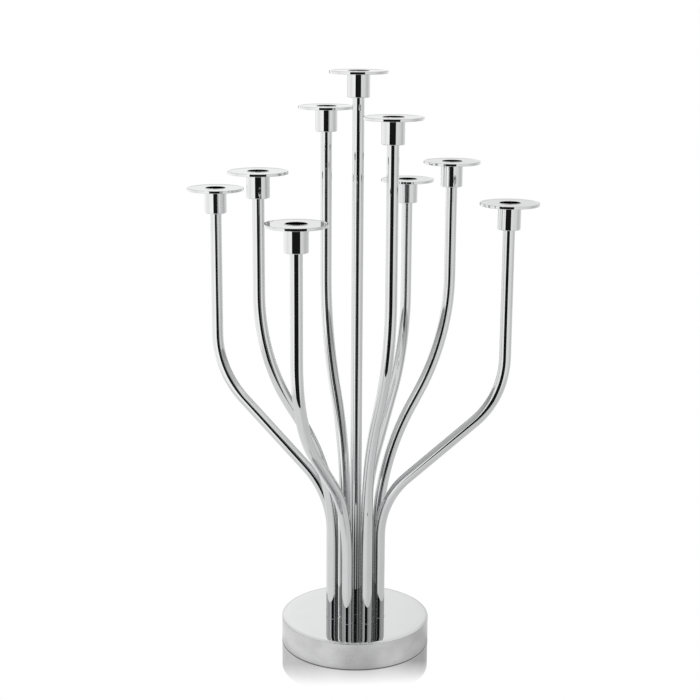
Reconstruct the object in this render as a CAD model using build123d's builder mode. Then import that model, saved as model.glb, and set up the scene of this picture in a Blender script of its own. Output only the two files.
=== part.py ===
from build123d import *

import os
from math import radians, tan

# Nine-light menorah: a heavy round foot, a straight centre stem for the servant
# light, and eight bent tubes in a ring round it. The ring is four pairs: the two
# arms of a pair stand opposite each other and share one shape. Every tube ends in
# a candle cup, and a loose drip pan sits round the neck of each cup.
#
# Millimetres, +Z up. The origin is on the table, under the middle of the foot.
# The front of the menorah faces -Y.

# ---- Driving dimensions -------------------------------------------------------

BASE_DIAMETER = 160.0
BASE_THICKNESS = 30.0
BASE_BEVEL = 1.0

PAD_DIAMETER = 148.0
PAD_THICKNESS = 2.0
PAD_RECESS = 1.5
PAD_GAP = 0.5

TUBE_DIAMETER = 12.0
TUBE_WALL = 1.2
RING_RADIUS = 27.2
SOCKET_DEPTH = 18.0
SOCKET_GAP = 0.05
SOCKET_BEVEL = 0.4

CUP_DIAMETER = 23.0
CUP_DEPTH = 27.0
CUP_FLOOR = 3.2
CUP_BEVEL = 0.8
CUP_BORE_DIAMETER = 20.8
NECK_DIAMETER = 22.0

PAN_DIAMETER = 60.0
PAN_THICKNESS = 3.0
PAN_HOLE_GAP = 0.12
PAN_RIM_RADIUS = 1.2
PAN_LIP_WIDTH = 2.0
PAN_DISH_DEPTH = 0.35

SLUG_LENGTH = 16.0
SLUG_GAP = 0.05
SLUG_BEVEL = 0.6

SCREW_DIAMETER = 5.0
SCREW_HOLE_DIAMETER = 5.4
TAPPED_DIAMETER = 5.2
CAP_HEAD_DIAMETER = 8.5
CAP_HEAD_HEIGHT = 5.0
CAP_SCREW_LENGTH = 16.0
HEX_SOCKET_WIDTH = 4.0
HEX_SOCKET_DEPTH = 2.5
WASHER_DIAMETER = 10.0
WASHER_THICKNESS = 1.0
COUNTERBORE_DIAMETER = 10.6
COUNTERBORE_DEPTH = 6.3
FLAT_HEAD_DIAMETER = 9.2
FLAT_HEAD_HEIGHT = 2.5
HEAD_GAP = 0.05
FLAT_SCREW_LENGTH = 14.0
DRIVE_WIDTH = 3.0
DRIVE_DEPTH = 1.2

ARM_COUNT = 8
ARM_STEP_DEG = 360.0 / ARM_COUNT
FIRST_ARM_DEG = -ARM_STEP_DEG / 2

CENTRE_PAN_HEIGHT = 588.0

# The four arm shapes, in turn round the ring: how far out the candle stands, how
# high the top of its pan is above the foot, how high above the foot the tube starts
# to bend, how many degrees its slope leans, and the radii of its two bends.
ARM_SHAPES = [
    dict(reach=179.0, pan_height=458.0, bend_start=69.0, lean=49.0, lower=132.0, upper=142.0),
    dict(reach=76.0, pan_height=547.5, bend_start=125.5, lean=22.5, lower=290.0, upper=320.0),
    dict(reach=159.5, pan_height=462.0, bend_start=92.5, lean=46.0, lower=97.0, upper=100.0),
    dict(reach=111.0, pan_height=492.0, bend_start=94.0, lean=32.0, lower=255.0, upper=235.0),
]

# ---- Levels that follow from them ---------------------------------------------

RIM_Z = PAD_THICKNESS - PAD_RECESS
BASE_TOP = RIM_Z + BASE_THICKNESS
SOCKET_FLOOR = BASE_TOP - SOCKET_DEPTH
COUNTERBORE_TOP = PAD_THICKNESS + COUNTERBORE_DEPTH
HEAD_TOP = COUNTERBORE_TOP - WASHER_THICKNESS

TUBE_RADIUS = TUBE_DIAMETER / 2
TUBE_BORE_RADIUS = TUBE_RADIUS - TUBE_WALL

os.makedirs("parts", exist_ok=True)


def save(part, name):
    """Labels one finished piece and writes it as its own STEP file."""
    part.label = name
    export_step(part, f"parts/{name}.step")


def ring_places():
    """The feet of the eight arms, evenly spaced, the first one just left of the front."""
    return PolarLocations(RING_RADIUS, ARM_COUNT, start_angle=FIRST_ARM_DEG - 90)


def arm_plane(number):
    """The upright plane of one arm: local X points outward, local Y points up."""
    outward = Vector(0, -1, 0).rotate(Axis.Z, FIRST_ARM_DEG + number * ARM_STEP_DEG)
    return Plane(origin=(0, 0, 0), x_dir=outward, z_dir=outward.cross(Vector(0, 0, 1)))


# ---- Foot ---------------------------------------------------------------------


def make_base():
    """Solid metal disc with nine tube sockets on top and nine screw holes below."""
    with BuildPart() as base:
        with BuildSketch(Plane.XY.offset(RIM_Z)):
            Circle(BASE_DIAMETER / 2)
        extrude(amount=BASE_THICKNESS)
        rims = base.edges().filter_by(GeomType.CIRCLE)
        chamfer(rims, BASE_BEVEL)
        # Shallow recess that keeps the pad in place.
        with BuildSketch(Plane.XY.offset(RIM_Z)):
            Circle(PAD_DIAMETER / 2 + PAD_GAP)
        extrude(amount=PAD_RECESS, mode=Mode.SUBTRACT)
        # Sockets that the tubes stand in.
        with BuildSketch(Plane.XY.offset(SOCKET_FLOOR)):
            with ring_places():
                Circle(TUBE_RADIUS + SOCKET_GAP)
            Circle(TUBE_RADIUS + SOCKET_GAP)
        extrude(amount=SOCKET_DEPTH, mode=Mode.SUBTRACT)
        # A fine bevel round each socket mouth.
        top_face = base.faces().sort_by(Axis.Z)[-1]
        chamfer(top_face.inner_wires().edges(), SOCKET_BEVEL)
        # Screw holes, each with a counterbore that hides its head and washer.
        with BuildSketch(Plane.XY.offset(PAD_THICKNESS)):
            with ring_places():
                Circle(SCREW_HOLE_DIAMETER / 2)
            Circle(SCREW_HOLE_DIAMETER / 2)
        extrude(amount=SOCKET_FLOOR - PAD_THICKNESS, mode=Mode.SUBTRACT)
        with BuildSketch(Plane.XY.offset(PAD_THICKNESS)):
            with ring_places():
                Circle(COUNTERBORE_DIAMETER / 2)
            Circle(COUNTERBORE_DIAMETER / 2)
        extrude(amount=COUNTERBORE_DEPTH, mode=Mode.SUBTRACT)
    return base.part


def make_base_pad():
    """Round felt pad under the foot, a little thicker than its recess."""
    with BuildPart() as pad:
        with BuildSketch():
            Circle(PAD_DIAMETER / 2)
        extrude(amount=PAD_THICKNESS)
    return pad.part


# ---- Tubes --------------------------------------------------------------------


def cup_bottom(pan_height):
    """Height of the underside of the cup whose pan tops out this far above the foot."""
    return BASE_TOP + pan_height - CUP_DEPTH


def make_arm(number, shape):
    """Up out of the foot, out along a slope, and upright again under the cup."""
    lean = radians(shape["lean"])
    reach = shape["reach"]
    lower_knee = BASE_TOP + shape["bend_start"] + shape["lower"] * tan(lean / 2)
    upper_knee = lower_knee + (reach - RING_RADIUS) / tan(lean)
    with BuildPart() as arm:
        with BuildLine(arm_plane(number)) as route:
            FilletPolyline(
                (RING_RADIUS, SOCKET_FLOOR),
                (RING_RADIUS, lower_knee),
                (reach, upper_knee),
                (reach, cup_bottom(shape["pan_height"])),
                radius=[shape["lower"], shape["upper"]],
            )
        with BuildSketch(Plane(origin=route.line @ 0, z_dir=route.line % 0)):
            Circle(TUBE_RADIUS)
            Circle(TUBE_BORE_RADIUS, mode=Mode.SUBTRACT)
        sweep(path=route.line)
    return arm.part


def make_centre_stem():
    """The straight tube of the servant light."""
    with BuildPart() as stem:
        with BuildSketch(Plane.XY.offset(SOCKET_FLOOR)):
            Circle(TUBE_RADIUS)
            Circle(TUBE_BORE_RADIUS, mode=Mode.SUBTRACT)
        extrude(amount=cup_bottom(CENTRE_PAN_HEIGHT) - SOCKET_FLOOR)
    return stem.part


def make_slug(plane):
    """Steel slug brazed into the end of a tube and tapped for a screw."""
    with BuildPart() as slug:
        with BuildSketch(plane):
            Circle(TUBE_BORE_RADIUS - SLUG_GAP)
        extrude(amount=SLUG_LENGTH)
        ends = slug.edges().filter_by(GeomType.CIRCLE)
        chamfer(ends, SLUG_BEVEL)
        with BuildSketch(plane):
            Circle(TAPPED_DIAMETER / 2)
        extrude(amount=SLUG_LENGTH, mode=Mode.SUBTRACT)
    return slug.part


# ---- Candle cups and drip pans ------------------------------------------------


def make_cup(x, y, bottom):
    """Turned cup: a floor with a countersunk hole, a wall, and a neck for the pan."""
    outer = CUP_DIAMETER / 2
    neck = NECK_DIAMETER / 2
    bore = CUP_BORE_DIAMETER / 2
    shoulder = CUP_DEPTH - PAN_THICKNESS
    section = Plane(origin=(x, y, bottom), x_dir=(1, 0, 0), z_dir=(0, -1, 0))
    with BuildPart() as cup:
        with BuildSketch(section):
            with BuildLine():
                Polyline(
                    (SCREW_HOLE_DIAMETER / 2, 0),
                    (outer - CUP_BEVEL, 0),
                    (outer, CUP_BEVEL),
                    (outer, shoulder),
                    (neck, shoulder),
                    (neck, CUP_DEPTH),
                    (bore, CUP_DEPTH),
                    (bore, CUP_FLOOR),
                    (FLAT_HEAD_DIAMETER / 2 + HEAD_GAP, CUP_FLOOR),
                    (SCREW_HOLE_DIAMETER / 2, CUP_FLOOR - FLAT_HEAD_HEIGHT),
                    close=True,
                )
            make_face()
        revolve(axis=Axis((x, y, 0), (0, 0, 1)))
    return cup.part


def make_pan(x, y, top):
    """Flat round drip pan with a soft rim, a thin lip and a barely sunk middle."""
    with BuildPart() as pan:
        with BuildSketch(Plane((x, y, top - PAN_THICKNESS))):
            Circle(PAN_DIAMETER / 2)
        extrude(amount=PAN_THICKNESS)
        fillet(pan.edges().filter_by(GeomType.CIRCLE), PAN_RIM_RADIUS)
        with BuildSketch(Plane((x, y, top - PAN_DISH_DEPTH))):
            Circle(PAN_DIAMETER / 2 - PAN_LIP_WIDTH)
        extrude(amount=PAN_DISH_DEPTH, mode=Mode.SUBTRACT)
        with BuildSketch(Plane((x, y, top - PAN_THICKNESS))):
            Circle(NECK_DIAMETER / 2 + PAN_HOLE_GAP)
        extrude(amount=PAN_THICKNESS, mode=Mode.SUBTRACT)
    return pan.part


# ---- Fasteners ----------------------------------------------------------------


def make_foot_screws():
    """Socket-head screws, pushed up from below into the slugs in the tube feet."""
    with BuildPart() as screws:
        with BuildSketch(Plane.XY.offset(HEAD_TOP - CAP_HEAD_HEIGHT)):
            with ring_places():
                Circle(CAP_HEAD_DIAMETER / 2)
            Circle(CAP_HEAD_DIAMETER / 2)
        extrude(amount=CAP_HEAD_HEIGHT)
        with BuildSketch(Plane.XY.offset(HEAD_TOP)):
            with ring_places():
                Circle(SCREW_DIAMETER / 2)
            Circle(SCREW_DIAMETER / 2)
        extrude(amount=CAP_SCREW_LENGTH)
        with BuildSketch(Plane.XY.offset(HEAD_TOP - CAP_HEAD_HEIGHT)):
            with ring_places():
                RegularPolygon(HEX_SOCKET_WIDTH / 2, 6, major_radius=False)
            RegularPolygon(HEX_SOCKET_WIDTH / 2, 6, major_radius=False)
        extrude(amount=HEX_SOCKET_DEPTH, mode=Mode.SUBTRACT)
    return screws.part


def make_foot_washers():
    """One plain washer above each foot screw's head."""
    with BuildPart() as washers:
        with BuildSketch(Plane.XY.offset(HEAD_TOP)):
            with ring_places():
                Circle(WASHER_DIAMETER / 2)
                Circle(SCREW_HOLE_DIAMETER / 2, mode=Mode.SUBTRACT)
            Circle(WASHER_DIAMETER / 2)
            Circle(SCREW_HOLE_DIAMETER / 2, mode=Mode.SUBTRACT)
        extrude(amount=WASHER_THICKNESS)
    return washers.part


def make_cup_screws(cup_places):
    """Flat-head screws, flush in the cup floors, into the slugs in the tube tops."""
    head = FLAT_HEAD_DIAMETER / 2
    shank = SCREW_DIAMETER / 2
    with BuildPart() as screws:
        for x, y, bottom in cup_places:
            seat = bottom + CUP_FLOOR
            plane = Plane(origin=(x, y, seat), x_dir=(1, 0, 0), z_dir=(0, -1, 0))
            with BuildSketch(plane):
                with BuildLine():
                    Polyline(
                        (0, 0),
                        (head, 0),
                        (shank, -FLAT_HEAD_HEIGHT),
                        (shank, -FLAT_SCREW_LENGTH),
                        (0, -FLAT_SCREW_LENGTH),
                        close=True,
                    )
                make_face()
            revolve(axis=Axis((x, y, 0), (0, 0, 1)))
            with BuildSketch(Plane((x, y, seat - DRIVE_DEPTH))):
                RegularPolygon(DRIVE_WIDTH / 2, 6, major_radius=False)
            extrude(amount=DRIVE_DEPTH, mode=Mode.SUBTRACT)
    return screws.part


# ---- The nine lights ----------------------------------------------------------

save(make_base(), "base")
save(make_base_pad(), "base_pad")
save(make_foot_screws(), "foot_screws")
save(make_foot_washers(), "foot_washers")

cup_places = []


def save_light(name, foot, place, pan_height):
    """Writes the slugs, cup and pan that belong to one tube."""
    bottom = cup_bottom(pan_height)
    save(make_slug(Plane((foot.X, foot.Y, SOCKET_FLOOR))), f"{name}_foot_slug")
    save(make_slug(Plane((place.X, place.Y, bottom - SLUG_LENGTH))), f"{name}_top_slug")
    save(make_cup(place.X, place.Y, bottom), f"{name}_cup")
    save(make_pan(place.X, place.Y, bottom + CUP_DEPTH), f"{name}_pan")
    cup_places.append((place.X, place.Y, bottom))


save(make_centre_stem(), "servant_stem")
save_light("servant", Vector(0, 0, 0), Vector(0, 0, 0), CENTRE_PAN_HEIGHT)

for number in range(ARM_COUNT):
    shape = ARM_SHAPES[number % len(ARM_SHAPES)]
    outward = arm_plane(number).x_dir
    name = f"light_{number + 1}"
    save(make_arm(number, shape), f"{name}_arm")
    save_light(name, outward * RING_RADIUS, outward * shape["reach"], shape["pan_height"])

save(make_cup_screws(cup_places), "cup_screws")
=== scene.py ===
# %% [markdown]
# # A nine-light menorah in mirror metal
# A heavy round foot carries one straight stem and eight bent tubes. Each of them
# ends in a candle cup, and a loose drip pan lies round the neck of each cup. Mirror
# metal has almost no colour of its own: what we see in it is the studio. So this
# lesson has two halves, clean round surfaces first, and then a room worth reflecting.
#
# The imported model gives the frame. Every piece below is placed from it, in metres.

from math import cos, pi, radians, sin, tan

import bmesh
import bpy
from mathutils import Matrix, Vector


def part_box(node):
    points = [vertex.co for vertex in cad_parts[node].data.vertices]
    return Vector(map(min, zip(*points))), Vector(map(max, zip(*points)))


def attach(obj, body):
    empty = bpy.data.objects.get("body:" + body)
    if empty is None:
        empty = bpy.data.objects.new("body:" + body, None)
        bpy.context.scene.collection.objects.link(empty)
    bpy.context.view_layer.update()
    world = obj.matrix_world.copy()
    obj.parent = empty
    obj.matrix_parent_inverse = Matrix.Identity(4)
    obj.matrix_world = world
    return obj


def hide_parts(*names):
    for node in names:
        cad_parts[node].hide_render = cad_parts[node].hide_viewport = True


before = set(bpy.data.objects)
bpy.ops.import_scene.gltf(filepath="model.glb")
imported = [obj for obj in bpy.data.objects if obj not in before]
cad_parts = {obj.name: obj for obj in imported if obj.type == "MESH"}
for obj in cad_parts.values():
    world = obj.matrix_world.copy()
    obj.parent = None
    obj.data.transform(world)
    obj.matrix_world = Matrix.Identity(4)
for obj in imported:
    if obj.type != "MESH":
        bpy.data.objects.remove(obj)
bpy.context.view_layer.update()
MM = 0.001

# %% [markdown]
# ## Sizes
# The frame says where each piece is. Only what a box can't say is repeated here: the
# wall of a cup, the radius of an edge, and how each arm bends. There are four arm
# shapes, used twice each, because opposite arms are alike.

# %% Named sizes
LIGHTS = ["servant"] + [f"light_{number}" for number in range(1, 9)]
STAND = "stand"

TUBE_WALL = 1.2 * MM
CUP_BORE = 10.4 * MM
CUP_NECK = 11.0 * MM
CUP_FLOOR = 3.2 * MM
SCREW_HEAD = 4.65 * MM
SCREW_HOLE = 2.7 * MM
PAN_HOLE_GAP = 0.12 * MM
PAN_LIP = 2.0 * MM
PAN_DISH = 0.35 * MM
RING_RADIUS = 27.2 * MM

ARM_SHAPES = [
    dict(start=69.0 * MM, lean=radians(49.0), lower=132.0 * MM, upper=142.0 * MM),
    dict(start=125.5 * MM, lean=radians(22.5), lower=290.0 * MM, upper=320.0 * MM),
    dict(start=92.5 * MM, lean=radians(46.0), lower=97.0 * MM, upper=100.0 * MM),
    dict(start=94.0 * MM, lean=radians(32.0), lower=255.0 * MM, upper=235.0 * MM),
]

base_low, base_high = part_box("base")
BASE_TOP = base_high.z
BASE_RADIUS = (base_high.x - base_low.x) / 2
print("foot:", round(2 * BASE_RADIUS / MM, 1), "mm across, top at", round(BASE_TOP / MM, 1))


def middle(node):
    """The centre of a node's box."""
    low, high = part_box(node)
    return (low + high) / 2


# %% [markdown]
# ## Wiring shaders as sums
# A shader tree is a long sum, and sums are easiest to read as sums. `Wire` wraps one
# output socket, so that `0.03 + 0.05 * smudge` adds the Math nodes by itself. `Maker`
# adds any other node: its settings go in first, then its sockets.


# %% Wire and Maker
class Wire:
    """One output socket of a shader tree. Arithmetic on it adds Math nodes."""

    def __init__(self, maker, socket):
        self.maker = maker
        self.socket = socket

    def math(self, operation, first, second):
        return self.maker.node("ShaderNodeMath", {"operation": operation}, {0: first, 1: second})

    def __add__(self, other):
        return self.math("ADD", self, other)

    def __radd__(self, other):
        return self.math("ADD", other, self)

    def __sub__(self, other):
        return self.math("SUBTRACT", self, other)

    def __rsub__(self, other):
        return self.math("SUBTRACT", other, self)

    def __mul__(self, other):
        return self.math("MULTIPLY", self, other)

    def __rmul__(self, other):
        return self.math("MULTIPLY", other, self)

    def __truediv__(self, other):
        return self.math("DIVIDE", self, other)

    def __neg__(self):
        return self.math("MULTIPLY", self, -1.0)


class Maker:
    """Adds nodes to one tree."""

    def __init__(self, tree):
        self.tree = tree
        tree.nodes.clear()

    def node(self, kind, settings=None, sockets=None, out=0):
        """One node: its settings are set first, then its sockets are filled or linked."""
        made = self.tree.nodes.new(kind)
        for name, value in (settings or {}).items():
            if name == "stops":
                self.fill_ramp(made.color_ramp, value)
            else:
                setattr(made, name, value)
        for key, value in (sockets or {}).items():
            if isinstance(value, Wire):
                self.tree.links.new(value.socket, made.inputs[key])
            else:
                made.inputs[key].default_value = value
        return Wire(self, made.outputs[out])

    def fill_ramp(self, ramp, stops):
        """Sets a colour ramp to grey stops, given as place and brightness."""
        while len(ramp.elements) < len(stops):
            ramp.elements.new(1.0)
        for element, (place, grey) in zip(ramp.elements, stops):
            element.position = place
            element.color = (grey, grey, grey, 1.0)

    def parts(self, vector):
        """The three parts of a vector."""
        split = self.tree.nodes.new("ShaderNodeSeparateXYZ")
        self.tree.links.new(vector.socket, split.inputs[0])
        return [Wire(self, output) for output in split.outputs]

    def span(self, value, low, high, start=0.0, end=1.0):
        """A value moved smoothly from one range to another, and kept inside it."""
        settings = {"interpolation_type": "SMOOTHSTEP"}
        sockets = {"Value": value, "From Min": low, "From Max": high, "To Min": start, "To Max": end}
        return self.node("ShaderNodeMapRange", settings, sockets)

    def blend(self, amount, first, second):
        """A mix of two colours."""
        settings = {"data_type": "RGBA"}
        return self.node("ShaderNodeMix", settings, {0: amount, 6: first, 7: second}, out=2)

    def stretch(self, vector, scale):
        """A vector with each part times its own number."""
        return self.node("ShaderNodeVectorMath", {"operation": "MULTIPLY"}, {0: vector, 1: scale})

    def noise(self, place, scale, detail=2.0, roughness=0.5):
        """Cloudy noise from 0 to 1, features about 1 / scale of a metre."""
        sockets = {"Vector": place, "Scale": scale, "Detail": detail, "Roughness": roughness}
        return self.node("ShaderNodeTexNoise", {}, sockets)

    def bump(self, height, depth, strength=1.0, under=None):
        """A normal tilted by a height of up to depth metres, over another bump if given."""
        sockets = {"Strength": strength, "Distance": depth, "Height": height}
        if under is not None:
            sockets["Normal"] = under
        return self.node("ShaderNodeBump", {}, sockets)

    def finish(self, shader, kind="ShaderNodeOutputMaterial"):
        """Links the shader to the tree's output."""
        self.tree.links.new(shader.socket, self.tree.nodes.new(kind).inputs[0])


def new_material(name):
    """An empty material and its maker."""
    made = bpy.data.materials.new(name)
    made.use_nodes = True
    return made, Maker(made.node_tree)


def grey(level):
    return (level, level, level, 1.0)


def share_of_turn(angle):
    """An angle from the front, in degrees, as a place on a ramp."""
    return angle / 360.0 + 0.5


def way_round(maker, direction):
    """The way a direction points, seen from above, as a place on a ramp. Front is 0.5."""
    across, deep, _ = maker.parts(direction)
    return maker.node("ShaderNodeMath", {"operation": "ARCTAN2"}, {0: across, 1: -deep}) / (2 * pi) + 0.5


def level_round(maker, place, stops):
    """A brightness read from a list of angles and levels."""
    settings = {"stops": [(share_of_turn(angle), level) for angle, level in stops]}
    return maker.node("ShaderNodeValToRGB", settings, {0: place})


print("shader helpers ready")

# %% [markdown]
# ## Plated and polished metal
# The tubes, cups and pans are plated and buffed to a mirror. A mirror still tells how
# it was made: long soft waves where the tube was drawn and buffed, hair-fine polishing
# lines, and faint cloudy patches where a cloth has wiped it. All of it is tiny. Too
# much, and the metal looks like foil. Nickel and chrome send back a little under two
# thirds of the light. That matters between the tubes, where light is handed from one to
# the next and each step makes it darker. The studio is bright enough to make up for it.
#
# Low down, the tubes stand close together, and little light gets between them. There the
# stem, and the side of each tube that faces it, get painted shade: their colour is darker.
# A mask finds those places: the outward part of the surface's direction is large on the
# outside of the ring, and small or negative on its inside.

# %% Painted shade low between the tubes
CROWDED_BELOW = 100 * MM
FREE_ABOVE = 170 * MM
STEM_ALONE = 12 * MM
STEM_CLEAR = 20 * MM
FACING_OUT = 0.45
FACING_IN = -0.10


def distance_from_stem(maker, place):
    """How far a place is from the upright through the middle of the foot."""
    flat = maker.stretch(place, (1.0, 1.0, 0.0))
    return maker.node("ShaderNodeVectorMath", {"operation": "LENGTH"}, {0: flat}, out="Value")


def crowded(maker, place):
    """Where shade is painted: 1 low down on the stem and on the inner side of the ring of tubes, else 0."""
    across, deep, up = maker.parts(place)
    facing = maker.parts(maker.node("ShaderNodeNewGeometry", out="Normal"))
    away = distance_from_stem(maker, place)
    outward = (across * facing[0] + deep * facing[1]) / away
    inner = maker.span(outward, FACING_OUT, FACING_IN)
    stem = maker.span(away, STEM_CLEAR, STEM_ALONE)
    either = maker.node("ShaderNodeMath", {"operation": "MAXIMUM"}, {0: inner, 1: stem})
    return either * maker.span(up, FREE_ABOVE, CROWDED_BELOW)


print("crowded below", round(CROWDED_BELOW / MM), "mm, free above", round(FREE_ABOVE / MM), "mm")


# %% Mirror metal
def mirror_metal(name, tint, gloss, wave_depth, grain, painted_shade=0.0):
    """Buffed plating. grain stretches the polishing lines: small numbers run long.

    The last argument is the share of brightness taken off as painted shade, low down between the tubes.
    """
    made, maker = new_material(name)
    place = maker.node("ShaderNodeTexCoord", out="Object")
    wiped = maker.noise(place, 38.0, 4.0, 0.6)
    lines = maker.noise(maker.stretch(place, grain), 1400.0, 3.0, 0.55)
    waves = maker.noise(maker.stretch(place, (1.0, 1.0, 0.35)), 48.0, 0.0)
    specks = maker.noise(place, 900.0, 2.0)
    cloud = maker.span(wiped, 0.42, 0.72)
    rough = gloss + 0.008 * cloud + 0.003 * maker.span(lines, 0.55, 0.8)
    fleck = maker.span(specks, 0.70, 0.82)
    darker = tuple(0.955 * part for part in tint[:3]) + (1.0,)
    pitted = tuple(0.86 * part for part in tint[:3]) + (1.0,)
    colour = maker.blend(0.75 * cloud, tint, darker)
    colour = maker.blend(0.35 * fleck, colour, pitted)
    if painted_shade:
        # Painted shade: low down, the stem and the inner sides of the tubes get a darker colour.
        shaded_tint = tuple((1.0 - painted_shade) * part for part in tint[:3]) + (1.0,)
        colour = maker.blend(crowded(maker, place), colour, shaded_tint)
    soft = maker.bump(waves, wave_depth)
    fine = maker.bump(lines, 0.0001 * MM, 0.4, soft)
    sockets = {
        "Base Color": colour,
        "Metallic": 1.0,
        "Roughness": rough,
        "Normal": fine,
        "IOR": 1.45,
        "Specular IOR Level": 0.5,
    }
    maker.finish(maker.node("ShaderNodeBsdfPrincipled", {}, sockets))
    return made


SILVER = (0.596, 0.599, 0.604, 1.0)
tube_metal = mirror_metal("buffed_tube", SILVER, 0.004, 0.025 * MM, (1.0, 1.0, 0.04), 0.50)
cup_metal = mirror_metal("buffed_cup", SILVER, 0.006, 0.015 * MM, (0.1, 0.1, 1.0))
pan_metal = mirror_metal("buffed_pan", SILVER, 0.010, 0.02 * MM, (0.3, 0.3, 1.0))
print("mirror metals:", tube_metal.name, cup_metal.name, pan_metal.name)

# %% [markdown]
# ## The foot's two finishes
# The foot is turned from a solid disc. Its top is lapped flat and buffed like glass,
# but its edge is only polished on the lathe, so it is softer and slightly mottled, with
# fine rings running round it. One material holds both: a mask that asks whether the
# surface looks upward chooses the finish.
#
# The mirror image below the foot shows the edge in the same soft greys as the edge
# itself. A real sheet would show what the edge sees from below, the dark room and the
# strip light, so to rays from other surfaces the edge glows instead, with painted light
# levels that change round the foot.


# %% Foot metal
# Painted light levels for the glowing edge, by the way round from the front.
EDGE_LIGHT = [(-180, 0.43), (-100, 0.47), (-80, 0.53), (-49, 0.48), (-20, 0.47), (-6, 0.36), (6, 0.36),
              (20, 0.45), (49, 0.34), (63, 0.32), (77, 0.43), (100, 0.43), (180, 0.43)]


def foot_metal():
    made, maker = new_material("turned_foot")
    place = maker.node("ShaderNodeTexCoord", out="Object")
    facing = maker.parts(maker.node("ShaderNodeNewGeometry", out="Normal"))[2]
    side = maker.span(maker.node("ShaderNodeMath", {"operation": "ABSOLUTE"}, {0: facing}), 0.92, 0.6)
    mottle = maker.noise(maker.stretch(place, (1.0, 1.0, 1.6)), 52.0, 3.0, 0.45)
    patch = maker.noise(place, 21.0, 2.0)
    rings = maker.noise(maker.stretch(place, (0.02, 0.02, 1.0)), 2600.0, 2.0)
    wiped = maker.noise(place, 30.0, 4.0, 0.6)
    cloud = maker.span(wiped, 0.42, 0.72)
    shade = maker.span(0.6 * mottle + 0.4 * patch, 0.35, 0.68)
    top = maker.blend(0.6 * cloud, (0.570, 0.572, 0.576, 1.0), (0.554, 0.556, 0.561, 1.0))
    edge = maker.blend(shade, (0.588, 0.588, 0.590, 1.0), (0.512, 0.513, 0.518, 1.0))
    soft = maker.bump(mottle, 0.12 * MM, side)
    fine = maker.bump(rings, 0.0012 * MM, side, soft)
    sockets = {
        "Base Color": maker.blend(side, top, edge),
        "Metallic": 1.0,
        "Roughness": 0.008 + 0.02 * cloud + side * (0.22 + 0.10 * shade),
        "Normal": fine,
        "IOR": 1.45,
        "Specular IOR Level": 0.5,
    }
    metal = maker.node("ShaderNodeBsdfPrincipled", {}, sockets)
    # Painted light: to rays from other surfaces the edge is a glowing surface with these listed levels.
    lit = level_round(maker, way_round(maker, place), EDGE_LIGHT)
    plain = maker.node("ShaderNodeEmission", {}, {"Color": lit, "Strength": 1.05 - 0.10 * shade})
    mirrored = side * maker.node("ShaderNodeLightPath", out="Is Glossy Ray")
    maker.finish(maker.node("ShaderNodeMixShader", {}, {0: mirrored, 1: metal, 2: plain}))
    return made


foot_finish = foot_metal()
print("foot finish:", foot_finish.name)

# %% [markdown]
# ## Steel and felt that stay out of sight
# The slugs inside the tubes are plain turned steel, the screws and washers are zinc
# plated, and the pad under the foot is pressed wool felt. They show when the foot is
# turned over, or when a pan is lifted and one looks down into a cup.


# %% Steel, zinc and felt
def plain_metal(name, dark, light, rough, ring_scale):
    """Turned or plated steel with cloudy colour and fine tool rings."""
    made, maker = new_material(name)
    place = maker.node("ShaderNodeTexCoord", out="Object")
    cloud = maker.noise(place, 420.0, 4.0, 0.6)
    rings = maker.noise(maker.stretch(place, (0.05, 0.05, 1.0)), ring_scale, 2.0)
    sockets = {
        "Base Color": maker.blend(maker.span(cloud, 0.35, 0.7), dark, light),
        "Metallic": 1.0,
        "Roughness": rough + 0.14 * cloud,
        "Normal": maker.bump(rings, 0.01 * MM, 0.6),
    }
    maker.finish(maker.node("ShaderNodeBsdfPrincipled", {}, sockets))
    return made


def felt():
    made, maker = new_material("wool_felt")
    place = maker.node("ShaderNodeTexCoord", out="Object")
    fibre = maker.noise(maker.stretch(place, (1.0, 0.35, 1.0)), 2400.0, 5.0, 0.7)
    cross = maker.noise(maker.stretch(place, (0.35, 1.0, 1.0)), 2100.0, 5.0, 0.7)
    clump = maker.noise(place, 160.0, 3.0)
    shade = maker.span(0.4 * fibre + 0.4 * cross + 0.2 * clump, 0.35, 0.65)
    sockets = {
        "Base Color": maker.blend(shade, (0.022, 0.023, 0.026, 1.0), (0.085, 0.086, 0.092, 1.0)),
        "Roughness": 0.88 + 0.1 * clump,
        "Sheen Weight": 0.35,
        "Sheen Roughness": 0.5,
        "Specular IOR Level": 0.2,
        "Normal": maker.bump(fibre + cross, 0.15 * MM, 0.8),
    }
    maker.finish(maker.node("ShaderNodeBsdfPrincipled", {}, sockets))
    return made


slug_steel = plain_metal("turned_steel", grey(0.30), grey(0.52), 0.22, 3200.0)
zinc = plain_metal("zinc_plate", (0.46, 0.48, 0.50, 1.0), (0.70, 0.71, 0.70, 1.0), 0.26, 5200.0)
felt_finish = felt()
print("hidden finishes:", slug_steel.name, zinc.name, felt_finish.name)

# %% [markdown]
# ## Turning round pieces
# A foot, a cup and a pan are all turned, so they are made as on a lathe: draw half the
# section, round its corners, and spin it. A mirror shows every facet, so the spin has
# many steps, and each corner gets a real small radius. `rounded` swaps each corner of
# the outline for an arc that is tangent to both of its sides.

# %% Lathe helpers
CORNER_STEPS = 6
SPIN_STEPS = 160


def rounded(corners):
    """An outline with rounded corners. Each corner is (across, up, radius)."""
    outline = []
    count = len(corners)
    for index, (across, up, radius) in enumerate(corners):
        corner = Vector((across, up))
        if radius <= 0.0:
            outline.append(corner)
            continue
        before = (Vector(corners[index - 1][:2]) - corner).normalized()
        after = (Vector(corners[(index + 1) % count][:2]) - corner).normalized()
        half = before.angle(after) / 2
        reach = radius / tan(half)
        centre = corner + (before + after).normalized() * (radius / sin(half))
        first = corner + before * reach - centre
        last = corner + after * reach - centre
        turn = first.angle_signed(last)
        for step in range(CORNER_STEPS + 1):
            angle = -turn * step / CORNER_STEPS
            outline.append(centre + Matrix.Rotation(angle, 2) @ first)
    return outline


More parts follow.
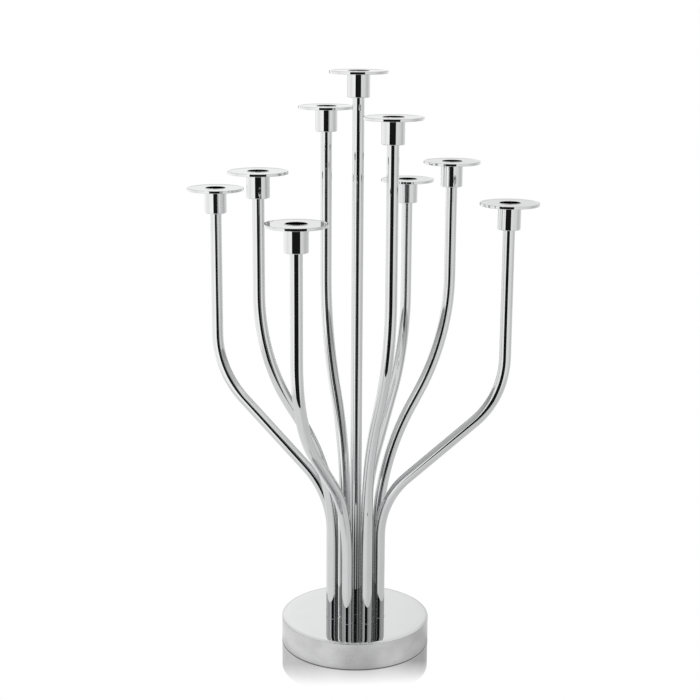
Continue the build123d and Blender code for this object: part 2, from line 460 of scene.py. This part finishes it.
def new_piece(name, mesh_builder, finish, body):
    """A smooth-shaded object from a bmesh, with its finish and body set."""
    data = bpy.data.meshes.new(name)
    bmesh.ops.recalc_face_normals(mesh_builder, faces=mesh_builder.faces)
    mesh_builder.to_mesh(data)
    mesh_builder.free()
    for face in data.polygons:
        face.use_smooth = True
    data.set_sharp_from_angle(angle=radians(32))
    piece = bpy.data.objects.new(name, data)
    bpy.context.scene.collection.objects.link(piece)
    data.materials.append(finish)
    flat = piece.modifiers.new("flat_faces_stay_flat", "WEIGHTED_NORMAL")
    flat.keep_sharp = True
    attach(piece, body)
    return piece


def spin(outline, centre, steps=SPIN_STEPS):
    """A closed solid of revolution round an upright axis, as a bmesh."""
    made = bmesh.new()
    rings = []
    for point in outline:
        if point.x < 1e-7:
            rings.append([made.verts.new((centre.x, centre.y, point.y))])
            continue
        ring = []
        for step in range(steps):
            angle = 2 * pi * step / steps
            ring.append(made.verts.new((
                centre.x + point.x * cos(angle),
                centre.y + point.x * sin(angle),
                point.y,
            )))
        rings.append(ring)
    for index, ring in enumerate(rings):
        other = rings[(index + 1) % len(rings)]
        if len(ring) == 1 and len(other) == 1:
            continue
        for step in range(steps):
            after = (step + 1) % steps
            if len(ring) == 1:
                made.faces.new((ring[0], other[step], other[after]))
            elif len(other) == 1:
                made.faces.new((ring[step], ring[after], other[0]))
            else:
                made.faces.new((ring[step], ring[after], other[after], other[step]))
    return made


print("lathe ready:", SPIN_STEPS, "steps round,", CORNER_STEPS, "steps to a corner")

# %% [markdown]
# ## The foot
# The foot is a disc with a soft edge, a recess below for the pad, and nine sockets on
# top for the tubes. It is spun first, and the sockets are then cut with a Boolean, as a
# drill would. Each cutter has a wider cone at its mouth, and leaves the fine bevel that
# catches a spark of light where a tube meets the foot. A buffing wheel always takes a
# little more off near a rim, so the top sinks by a third of a millimetre over its last
# centimetre. One can't see that as a shape, but the mirror image of the tubes bends in.

# %% Foot
EDGE = 1.0 * MM
ROLL_START = 69.0 * MM
ROLL_WIDTH = BASE_RADIUS - EDGE - ROLL_START
ROLL_DROP = 0.30 * MM
ROLL_STEPS = 8
PAD_SEAT = 74.5 * MM
PAD_CEILING = 2.0 * MM
SOCKET_DEPTH = 18.0 * MM
SOCKET_GAP = 0.05 * MM
SOCKET_BEVEL = 0.45 * MM

tube_low, tube_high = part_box("servant_stem")
TUBE_RADIUS = (tube_high.x - tube_low.x) / 2
foot_centre = Vector((0.0, 0.0, 0.0))

foot_outline = rounded([
    (0.0, PAD_CEILING, 0.0),
    (PAD_SEAT, PAD_CEILING, 0.0),
    (PAD_SEAT, base_low.z, 0.0),
    (BASE_RADIUS, base_low.z, EDGE),
    (BASE_RADIUS, BASE_TOP - ROLL_DROP, EDGE),
])
for step in range(1, ROLL_STEPS + 1):
    share = 1.0 - step / ROLL_STEPS
    foot_outline.append(Vector((ROLL_START + ROLL_WIDTH * share, BASE_TOP - ROLL_DROP * share**2)))
foot_outline.append(Vector((0.0, BASE_TOP)))
foot = new_piece("foot_disc", spin(foot_outline, foot_centre, 256), foot_finish, STAND)
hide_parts("base")


def socket_cutter(centre):
    """The drill for one socket: a straight hole with a bevelled mouth."""
    hole = TUBE_RADIUS + SOCKET_GAP
    mouth = hole + SOCKET_BEVEL
    floor = BASE_TOP - SOCKET_DEPTH
    clear = BASE_TOP + EDGE
    return spin([
        Vector((0.0, floor)),
        Vector((hole, floor)),
        Vector((hole, BASE_TOP - SOCKET_BEVEL)),
        Vector((mouth, BASE_TOP)),
        Vector((mouth, clear)),
        Vector((0.0, clear)),
    ], centre, 96)


def drill_foot(piece):
    """Cuts all nine sockets in one Boolean and keeps the result as plain mesh."""
    cutters = bmesh.new()
    for light in LIGHTS:
        one = socket_cutter(middle(f"{light}_foot_slug"))
        scratch = bpy.data.meshes.new("scratch")
        one.to_mesh(scratch)
        one.free()
        cutters.from_mesh(scratch)
        bpy.data.meshes.remove(scratch)
    bmesh.ops.recalc_face_normals(cutters, faces=cutters.faces)
    drill_mesh = bpy.data.meshes.new("drill")
    cutters.to_mesh(drill_mesh)
    cutters.free()
    drill = bpy.data.objects.new("drill", drill_mesh)
    bpy.context.scene.collection.objects.link(drill)
    cut = piece.modifiers.new("sockets", "BOOLEAN")
    cut.operation = "DIFFERENCE"
    cut.solver = "EXACT"
    cut.object = drill
    piece.modifiers.move(len(piece.modifiers) - 1, 0)
    bpy.context.view_layer.update()
    drilled = bpy.data.meshes.new_from_object(piece.evaluated_get(bpy.context.evaluated_depsgraph_get()))
    piece.modifiers.clear()
    piece.data = drilled
    drilled.set_sharp_from_angle(angle=radians(32))
    flat = piece.modifiers.new("flat_faces_stay_flat", "WEIGHTED_NORMAL")
    flat.keep_sharp = True
    bpy.data.objects.remove(drill)


drill_foot(foot)
print("foot:", len(foot.data.vertices), "points after drilling")

# %% [markdown]
# ## The felt pad
# The pad is cut from pressed felt. It is a plain disc with a soft edge: all that makes
# it felt is in the material, where two crossed noises raise the fibres.

# %% Pad
pad_low, pad_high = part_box("base_pad")
PAD_RADIUS = (pad_high.x - pad_low.x) / 2
pad_outline = rounded([
    (0.0, pad_high.z, 0.0),
    (0.0, pad_low.z, 0.0),
    (PAD_RADIUS, pad_low.z, 0.8 * MM),
    (PAD_RADIUS, pad_high.z, 0.4 * MM),
])
pad = new_piece("felt_pad", spin(pad_outline, foot_centre, 128), felt_finish, STAND)
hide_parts("base_pad")
print("pad:", round(2 * PAD_RADIUS / MM, 1), "mm across")

# %% [markdown]
# ## Nine tubes
# A tube bender leaves a straight run, a bend of one radius, a straight slope, a second
# bend back, and a last straight run. All of that lies in one upright plane, so the route
# is worked out in two numbers, outward and up, and turned to its place in the ring. A
# curve with a bevel would draw it quickly, but sweeping the section by hand keeps the
# wall hollow and the rings evenly spaced, which a mirror finish needs.

# %% Tube helpers
TUBE_SIDES = 72
BEND_STEP = 0.02
WALK = 12.0 * MM


def arm_route(shape, reach, foot_z, top_z):
    """Outward and up for each ring of one arm, with the direction of the tube there."""
    lean = shape["lean"]
    lower, upper = shape["lower"], shape["upper"]
    turned = 1.0 - cos(lean)
    slope = (reach - RING_RADIUS - (lower + upper) * turned) / sin(lean)
    bend_one = Vector((RING_RADIUS, BASE_TOP + shape["start"]))
    bend_one_end = bend_one + Vector((lower * turned, lower * sin(lean)))
    bend_two = bend_one_end + slope * Vector((sin(lean), cos(lean)))
    bend_two_end = bend_two + Vector((upper * turned, upper * sin(lean)))
    steps = max(8, round(lean / BEND_STEP))
    route = straight(Vector((RING_RADIUS, foot_z)), bend_one, 0.0)
    for step in range(steps):
        angle = lean * step / steps
        place = bend_one + lower * Vector((1.0 - cos(angle), sin(angle)))
        route.append((place, angle))
    route += straight(bend_one_end, bend_two, lean)
    for step in range(steps):
        angle = lean * (1.0 - step / steps)
        place = bend_two_end - upper * Vector((1.0 - cos(angle), sin(angle)))
        route.append((place, angle))
    route += straight(bend_two_end, Vector((reach, top_z)), 0.0)
    route.append((Vector((reach, top_z)), 0.0))
    return route


def straight(start, end, angle):
    """Evenly spaced places on a straight run, its end left out."""
    count = max(1, round((end - start).length / WALK))
    return [(start.lerp(end, step / count), angle) for step in range(count)]


def sweep_tube(route, outward):
    """A hollow tube along a route in the upright plane that holds outward."""
    made = bmesh.new()
    across = Vector((-outward.y, outward.x, 0.0))
    up = Vector((0.0, 0.0, 1.0))
    walls = []
    for radius in (TUBE_RADIUS, TUBE_RADIUS - TUBE_WALL):
        wall = []
        for place, angle in route:
            centre = outward * place.x + up * place.y
            sideways = outward * cos(angle) - up * sin(angle)
            ring = []
            for side in range(TUBE_SIDES):
                turn = 2 * pi * side / TUBE_SIDES
                ring.append(made.verts.new(centre + radius * (cos(turn) * sideways + sin(turn) * across)))
            wall.append(ring)
        walls.append(wall)
    for wall in walls:
        for ring, after in zip(wall, wall[1:]):
            join_rings(made, ring, after)
    join_rings(made, walls[0][0], walls[1][0])
    join_rings(made, walls[0][-1], walls[1][-1])
    return made


def join_rings(made, ring, after):
    """A band of faces between two rings of the same count."""
    for side in range(len(ring)):
        other = (side + 1) % len(ring)
        made.faces.new((ring[side], ring[other], after[other], after[side]))


print("bender ready:", TUBE_SIDES, "sides to a tube")

# %% [markdown]
# The stem is one straight cut of the same tube. An arm's reach is read from where its
# cup stands, and its slope is then as long as it has to be to get there.

# %% Cut the stem and bend the eight arms
stem_route = straight(Vector((0.0, tube_low.z)), Vector((0.0, tube_high.z)), 0.0)
stem_route.append((Vector((0.0, tube_high.z)), 0.0))
stem = new_piece("stem_tube", sweep_tube(stem_route, Vector((1, 0, 0))), tube_metal, STAND)
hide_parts("servant_stem")

for number, light in enumerate(LIGHTS[1:]):
    arm = f"{light}_arm"
    cup_centre = middle(f"{light}_cup")
    outward = Vector((cup_centre.x, cup_centre.y, 0.0))
    reach = outward.length
    arm_low, arm_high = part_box(arm)
    route = arm_route(ARM_SHAPES[number % 4], reach, arm_low.z, arm_high.z)
    swept = sweep_tube(route, outward.normalized())
    tube = new_piece(f"{light}_tube", swept, tube_metal, STAND)
    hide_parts(arm)
    print(light, "reach", round(reach / MM, 1), "mm,", len(route), "rings")

# %% [markdown]
# ## Nine cups
# A cup is turned from bar: a floor with a countersunk hole, a straight wall, and a neck
# one pan thick that is a shade narrower, so that the pan rests on the shoulder. The
# outer corner below is rolled over, the lip is broken, and the inside keeps its corner.


# %% Cups
def cup_outline(low, high, radius, shoulder):
    """Half the section of a cup, from the screw hole round to the countersink."""
    sink = (SCREW_HEAD - SCREW_HOLE) * 1.28
    return rounded([
        (SCREW_HOLE, low, 0.0),
        (radius, low, 0.85 * MM),
        (radius, shoulder, 0.12 * MM),
        (CUP_NECK, shoulder, 0.0),
        (CUP_NECK, high, 0.15 * MM),
        (CUP_BORE, high, 0.15 * MM),
        (CUP_BORE, low + CUP_FLOOR, 0.5 * MM),
        (SCREW_HEAD, low + CUP_FLOOR, 0.0),
        (SCREW_HOLE, low + CUP_FLOOR - sink, 0.0),
    ])


for light in LIGHTS:
    cup_low, cup_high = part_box(f"{light}_cup")
    pan_low, pan_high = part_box(f"{light}_pan")
    centre = middle(f"{light}_cup")
    outline = cup_outline(cup_low.z, cup_high.z, (cup_high.x - cup_low.x) / 2, pan_low.z)
    cup = new_piece(f"{light}_candle_cup", spin(outline, centre), cup_metal, STAND)
    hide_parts(f"{light}_cup")
print("cups:", len(LIGHTS))

# %% [markdown]
# ## Nine drip pans
# A pan is a disc three millimetres thick whose rim is only softened at its two edges, so
# that a flat band stays between them and mirrors the room as a cup does. Just inside it
# the face drops by a third of a millimetre, which keeps a run of wax on the pan and
# draws the thin line that follows the rim. The hole's edges are only broken.


# %% Pans
PAN_EDGE = 0.5 * MM


def pan_outline(low, high, radius):
    """Half the section of a drip pan."""
    hole = CUP_NECK + PAN_HOLE_GAP
    return rounded([
        (hole, low, 0.2 * MM),
        (radius, low, PAN_EDGE),
        (radius, high, PAN_EDGE),
        (radius - PAN_LIP, high, 0.15 * MM),
        (radius - PAN_LIP - 0.5 * MM, high - PAN_DISH, 0.4 * MM),
        (hole, high - PAN_DISH, 0.2 * MM),
    ])


for light in LIGHTS:
    pan_low, pan_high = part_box(f"{light}_pan")
    outline = pan_outline(pan_low.z, pan_high.z, (pan_high.x - pan_low.x) / 2)
    body = f"{light}_pan"
    pan = new_piece(f"{light}_drip_pan", spin(outline, middle(body)), pan_metal, body)
    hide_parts(body)
print("pans:", len(LIGHTS))

# %% [markdown]
# ## Slugs, screws and washers
# These keep the shapes that the frame gives them: they are plain turned and headed
# parts, right as they are. They only need their finish.

# %% Finish the hidden parts
for name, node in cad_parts.items():
    if name.endswith("_slug"):
        node.data.materials[0] = slug_steel
    elif name.endswith(("_screws", "_washers")):
        node.data.materials[0] = zinc
print("hidden parts finished")

# %% [markdown]
# ## A floor that fades to white
# The foot stands on a glossy white sheet. The sheet is so evenly lit that it melts into
# the background, and all that is left of it is a faint mirror image of the foot, gone
# after a few centimetres. The sheet glows by itself for that reason, and its gloss fades
# with the distance from the foot. Right under the foot's edge a thin dark ring is painted
# on the glow, a painted contact shadow where no light gets in.

# %% Floor
FLOOR_SIZE = 30.0
FADE_START = 60 * MM
FADE_END = 114 * MM
GLOSS_NEAR = 105 * MM
GLOSS_GONE = 150 * MM


def plane_object(name, size, material):
    """A square sheet on the ground."""
    sheet = bmesh.new()
    bmesh.ops.create_grid(sheet, x_segments=1, y_segments=1, size=size / 2)
    data = bpy.data.meshes.new(name)
    sheet.to_mesh(data)
    sheet.free()
    made = bpy.data.objects.new(name, data)
    bpy.context.scene.collection.objects.link(made)
    data.materials.append(material)
    return made


def white_sheet():
    made, maker = new_material("white_sheet")
    place = maker.node("ShaderNodeTexCoord", out="Object")
    forward = -maker.parts(place)[1]
    away = distance_from_stem(maker, place)
    # Painted shade: the glow turns dark grey in a thin ring under the foot's edge, and the mirror is cut
    # there too.
    painted_contact_shade = maker.span(away, BASE_RADIUS - 0.5 * MM, BASE_RADIUS + 1.0 * MM)
    near = maker.span(away, GLOSS_NEAR, GLOSS_GONE, 1.0, 0.0)
    fade = {"Value": forward, "From Min": FADE_START, "From Max": FADE_END, "To Min": 0.97, "To Max": 0.0}
    mirror = painted_contact_shade * near * maker.node("ShaderNodeMapRange", {}, fade)
    glow = maker.node("ShaderNodeEmission", {}, {"Color": maker.blend(painted_contact_shade, grey(0.10), grey(1.0))})
    gloss = maker.node("ShaderNodeBsdfGlossy", {}, {"Color": grey(1.0), "Roughness": 0.02})
    sheet = maker.node("ShaderNodeMixShader", {}, {0: mirror, 1: glow, 2: gloss})
    clear = maker.node("ShaderNodeBsdfTransparent")
    below = maker.node("ShaderNodeNewGeometry", out="Backfacing")
    maker.finish(maker.node("ShaderNodeMixShader", {}, {0: below, 1: sheet, 2: clear}))
    return made


floor = plane_object("floor", FLOOR_SIZE, white_sheet())
floor.visible_glossy = False
floor.visible_diffuse = False
floor.visible_shadow = False
print("floor laid")

# %% [markdown]
# The sheet should mirror the foot but not the studio, or grey patches would lie on it.
# So a clear cover hovers a hair above it. A ray that reflects off the sheet crosses the
# cover twice, on the way down and on the way up, while a ray off the metal crosses a
# clear sheet once at most. What the studio shows can depend on that count: plain white to
# a ray off the sheet, and screens and a dark gap to all others.

# %% Clear cover
COVER_SIZE = 0.34


def clear_film():
    made, maker = new_material("clear_film")
    maker.finish(maker.node("ShaderNodeBsdfTransparent"))
    return made


def seen_in_floor(maker):
    """1 for a ray that has come off the white sheet, else 0."""
    crossed = maker.node("ShaderNodeLightPath", out="Transparent Depth")
    return maker.node("ShaderNodeMath", {"operation": "GREATER_THAN"}, {0: crossed, 1: 1.5})


cover = plane_object("clear_cover", COVER_SIZE, clear_film())
cover.location.z = 0.05 * MM
cover.visible_diffuse = False
cover.visible_shadow = False
print("cover:", round(COVER_SIZE / MM), "mm")

# %% [markdown]
# ## What the metal sees
# A mirror object is lit by its surroundings. Round the foot lies a white table top with
# an edge about 45 cm out, and beyond it stand white screens, the right one a little
# greyer. The table top is a glowing sheet that only reflections see. Close to the foot
# its glow is darker, a painted shade for where the foot itself stands in the way of the light.

# %% Table top for reflections
TABLE_EDGE = 0.455
TABLE_SIZE = 1.3
GLOW = 1.4
RING = [(-180, 0.60), (-100, 0.70), (-77, 0.74), (-40, 0.72), (-27, 0.68), (-9, 0.50), (9, 0.50), (27, 0.68),
        (45, 0.62), (66, 0.52), (84, 0.46), (101, 0.62), (180, 0.60)]
CLOSE_UP_TO = 0.115
FAR_FROM = 0.17
SHADED_WIDTH = 14 * MM


def table_top():
    made, maker = new_material("table_top")
    place = maker.node("ShaderNodeTexCoord", out="Object")
    across = maker.parts(place)[0]
    away = distance_from_stem(maker, place)
    # Painted shade: the glow is nearly black at the foot's edge and dimmer for a few centimetres beyond it.
    painted_contact_shade = maker.span(away, BASE_RADIUS - 1.0 * MM, BASE_RADIUS + 1.0 * MM, 0.04, 0.76)
    shaded = maker.span(away, BASE_RADIUS, BASE_RADIUS + SHADED_WIDTH, 0.0, 0.24)
    # Painted light and shade near the foot: the brightness is listed by the way round, darker straight in
    # front.
    close = level_round(maker, way_round(maker, place), RING)
    far = maker.span(across, -0.12, 0.12, 0.74, 0.60)
    level = maker.blend(maker.span(away, CLOSE_UP_TO, FAR_FROM), close, far)
    patch = 0.94 + 0.12 * maker.noise(place, 9.0, 2.0)
    strength = GLOW * patch * (painted_contact_shade + shaded)
    shown = maker.node("ShaderNodeEmission", {}, {"Color": level, "Strength": strength})
    clear = maker.node("ShaderNodeBsdfTransparent")
    beyond = maker.span(-maker.parts(place)[1], TABLE_EDGE - 0.012, TABLE_EDGE + 0.002)
    maker.finish(maker.node("ShaderNodeMixShader", {}, {0: beyond, 1: shown, 2: clear}))
    return made


table = plane_object("table_top", TABLE_SIZE, table_top())
table.location.z = -0.5 * MM
table.visible_camera = False
table.visible_shadow = False
print("table top for reflections laid")

# %% [markdown]
# ## The dark gap
# Straight in front the screens leave a gap, and the dark of the room shows through it.
# That gap draws the black line down the middle of every tube. It could be painted on the
# world, but the world is endlessly far away, and then the line would sit at the same
# place on every tube. A real gap is near, so the line moves a little from tube to tube,
# and a sheet half a metre in front does the same.

# %% The dark gap between the screens
GAP_AWAY = 0.55
GAP_LEFT, GAP_RIGHT = -0.42, 0.20
GAP_LOW, GAP_HIGH = -0.12, 0.60


def dark_gap():
    made, maker = new_material("dark_gap")
    place = maker.node("ShaderNodeTexCoord", out="Object")
    level = 0.008 + 0.012 * maker.noise(place, 4.0, 2.0)
    dark = maker.node("ShaderNodeEmission", {}, {"Strength": level})
    clear = maker.node("ShaderNodeBsdfTransparent")
    maker.finish(maker.node("ShaderNodeMixShader", {}, {0: seen_in_floor(maker), 1: dark, 2: clear}))
    return made


gap = plane_object("dark_gap", 1.0, dark_gap())
gap.rotation_euler = (pi / 2, 0.0, 0.0)
gap.scale = (GAP_RIGHT - GAP_LEFT, GAP_HIGH - GAP_LOW, 1.0)
gap.location = ((GAP_LEFT + GAP_RIGHT) / 2, -GAP_AWAY, (GAP_LOW + GAP_HIGH) / 2)
gap.visible_camera = False
gap.visible_shadow = False
gap.visible_diffuse = False
print("gap:", round((GAP_RIGHT - GAP_LEFT) / MM), "mm wide")

# %% [markdown]
# ## The room
# The rest of the room is the world's own colour, read from the direction that a ray
# flies off in. Three lists say how light it is the whole way round: below the table's
# height, just above it, and higher up. Upright tubes and cups mirror the first, the tops
# of the pans the second, and the slopes of the arms the third. Overhead hangs one large
# light cloth. The camera itself sees plain white.

# %% The room
BELOW = [(-180, 0.03), (-164, 0.03), (-160, 1.0), (-100, 0.96), (-88, 0.86), (-76, 0.96), (-36, 1.04),
         (0, 0.92), (21, 0.80), (60, 0.74), (84, 0.58), (96, 0.56), (112, 0.66), (140, 0.72),
         (160, 1.0), (164, 0.03), (180, 0.03)]
ABOVE = [(-180, 1.0), (-166, 1.0), (-152, 0.52), (-110, 0.44), (-50, 0.44), (-45, 0.44), (-43, 1.7),
         (-35, 1.7), (-32, 0.62), (30, 0.62), (38, 0.56), (60, 0.42), (110, 0.44), (150, 0.50),
         (162, 0.82), (171, 0.88), (180, 1.0)]
HIGHER = [(-180, 1.0), (-166, 1.0), (-152, 0.62), (-110, 0.60), (-50, 0.60), (-45, 0.60), (-43, 1.7),
          (-35, 1.7), (-32, 0.45), (30, 0.45), (38, 0.50), (60, 0.60), (110, 0.60), (150, 0.60),
          (162, 0.82), (171, 0.88), (180, 1.0)]


def paint_room():
    world = bpy.data.worlds.new("studio")
    bpy.context.scene.world = world
    world.use_nodes = True
    maker = Maker(world.node_tree)
    direction = maker.node("ShaderNodeTexCoord", out="Generated")
    place = way_round(maker, direction)
    up = maker.parts(direction)[2]
    below = level_round(maker, place, BELOW)
    above = level_round(maker, place, ABOVE)
    higher = level_round(maker, place, HIGHER)
    screens = maker.blend(maker.span(up, 0.12, 0.20), above, higher)
    shade = maker.span(up, 0.13, 0.38, 0.24, 0.06)
    wall = maker.blend(maker.span(up, -0.01, 0.03), below, maker.blend(shade, screens, grey(0.0)))
    room = maker.blend(maker.span(up, 0.46, 0.64), wall, grey(0.80))
    direct = maker.node("ShaderNodeLightPath", out="Is Camera Ray")
    seen = maker.node("ShaderNodeMath", {"operation": "MAXIMUM"}, {0: direct, 1: seen_in_floor(maker)})
    sockets = {"Color": maker.blend(seen, room, grey(1.0)), "Strength": GLOW + (1.0 - GLOW) * seen}
    maker.finish(maker.node("ShaderNodeBackground", {}, sockets), "ShaderNodeOutputWorld")


paint_room()
scene = bpy.context.scene
scene.view_settings.view_transform = "Standard"
scene.view_settings.look = "None"
print("room painted, view transform:", scene.view_settings.view_transform)

# %% [markdown]
# ## Camera
# The camera stands a metre and a half away, a little left of the front and a little
# above the tallest pan, and looks down at the middle of the menorah. A long lens keeps
# the upright tubes nearly parallel.

# %% Camera
CAMERA_DISTANCE = 1.5206
CAMERA_HEIGHT = 0.6972
CAMERA_TURN = radians(-3.84)
CAMERA_SIDESTEP = -0.00724
CAMERA_TILT = radians(13.643)
CAMERA_ROLL = radians(0.34)
LENS = 76.32

camera_data = bpy.data.cameras.new("camera")
camera_data.sensor_width = 36.0
camera_data.lens = LENS
camera_data.clip_start = 0.05
camera = bpy.data.objects.new("camera", camera_data)
scene.collection.objects.link(camera)
scene.camera = camera
backward = Vector((sin(CAMERA_TURN), -cos(CAMERA_TURN), 0.0))
sideways = Vector((cos(CAMERA_TURN), sin(CAMERA_TURN), 0.0))
camera.location = CAMERA_DISTANCE * backward + CAMERA_SIDESTEP * sideways + Vector((0, 0, CAMERA_HEIGHT))
aim = Matrix.Rotation(CAMERA_TURN, 4, "Z") @ Matrix.Rotation(pi / 2 - CAMERA_TILT, 4, "X")
camera.rotation_euler = (aim @ Matrix.Rotation(CAMERA_ROLL, 4, "Z")).to_euler()
print("camera at", [round(v, 3) for v in camera.location])
